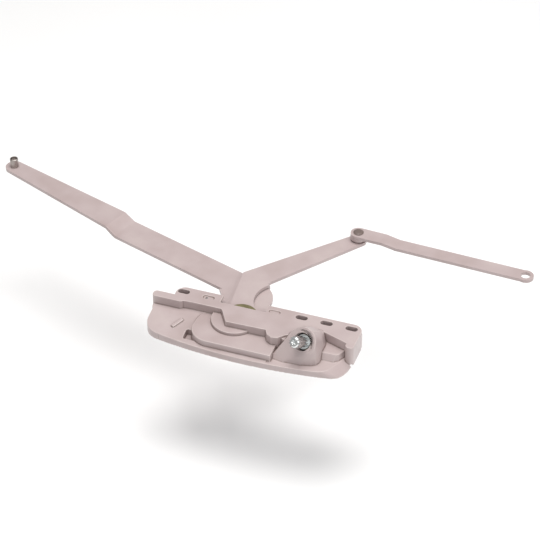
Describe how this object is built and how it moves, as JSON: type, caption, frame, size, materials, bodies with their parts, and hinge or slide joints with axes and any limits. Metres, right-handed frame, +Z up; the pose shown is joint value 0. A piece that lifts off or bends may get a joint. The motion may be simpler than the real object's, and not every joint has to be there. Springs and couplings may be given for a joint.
{
  "type": "dual-arm casement window operator",
  "caption": "Surface-mounted casement window operator with two worm-driven dog-leg arms, a folding link and a bare splined crank spindle.",
  "frame": {"origin": "on the arm pivot axis, at the underside that sits on the sill", "axes": "+X along the body towards the crank end, +Y out of the rear where the arms leave, +Z up off the sill"},
  "size_m": [0.4262, 0.1552, 0.0297],
  "materials": {
    "paint_body": "satin",
    "paint_arm": "satin",
    "paint_shadow": "satin",
    "spindle_zinc": "polished",
    "steel_zinc": "brushed",
    "steel_gear": "matte",
    "steel_dark": "matte",
    "pin_steel": "satin",
    "bronze": "satin",
    "yellow_zinc": "satin",
    "seal_rubber": "matte"
  },
  "bodies": {
    "body": {"housing": "paint_body", "base_plate": "steel_zinc", "base_plate_screws": "steel_zinc", "spindle_bushing": "bronze", "spindle_seal": "seal_rubber", "rear_bushing": "bronze", "drive_post": "steel_zinc", "idler_post": "steel_zinc", "idler_clip": "steel_dark", "lower_washer": "steel_zinc", "gear_washer": "steel_zinc", "arm_washer": "steel_zinc", "top_washer": "yellow_zinc"},
    "long_swing": {"long_arm": "paint_arm", "long_arm_gear": "steel_gear", "track_pin": "pin_steel"},
    "short_swing": {"short_arm": "paint_arm", "short_arm_gear": "steel_gear", "pivot_shaft": "steel_zinc", "link_rivet": "paint_shadow", "link_washer": "paint_arm"},
    "link": {"link_arm": "paint_arm"},
    "drive": {"worm_wheel": "bronze", "drive_pinion": "steel_gear"},
    "idler": {"idler_gear": "steel_gear"},
    "crank_spindle": {"spindle": "spindle_zinc"}
  },
  "joints": [
    {"name": "long_arm_swing", "type": "hinge", "parent": "body", "child": "long_swing", "pos_m": [0, 0, 0.008], "axis": [0, 0, 1], "range_deg": [-11.5, 15.5]},
    {"name": "short_arm_swing", "type": "hinge", "parent": "body", "child": "short_swing", "pos_m": [0, 0, 0.008], "axis": [0, 0, 1], "range_deg": [-45.8, 33.98]},
    {"name": "link_pivot", "type": "hinge", "parent": "short_swing", "child": "link", "pos_m": [0.05221, 0.1138, 0.0187], "axis": [0, 0, 1], "range_deg": [-35, 80]},
    {"name": "drive_turn", "type": "hinge", "parent": "body", "child": "drive", "pos_m": [0.04173, -0.00472, 0.008], "axis": [0, 0, 1], "range_deg": [-53.03, 39.34]},
    {"name": "idler_turn", "type": "hinge", "parent": "body", "child": "idler", "pos_m": [0.02126, -0.00567, 0.003], "axis": [0, 0, 1], "range_deg": [-33.98, 45.8]},
    {"name": "spindle_turn", "type": "hinge", "parent": "body", "child": "crank_spindle", "pos_m": [0.05337, -0.01799, 0.01854], "axis": [-0.2029, -0.8138, 0.5446], "range_deg": [-1007.5, 747.5]}
  ],
  "couplings": [
    {"joint": "short_arm_swing", "follows": "long_arm_swing", "ratio": -2.9545},
    {"joint": "drive_turn", "follows": "long_arm_swing", "ratio": -3.4211},
    {"joint": "idler_turn", "follows": "long_arm_swing", "ratio": 2.9545},
    {"joint": "spindle_turn", "follows": "long_arm_swing", "ratio": -65}
  ]
}
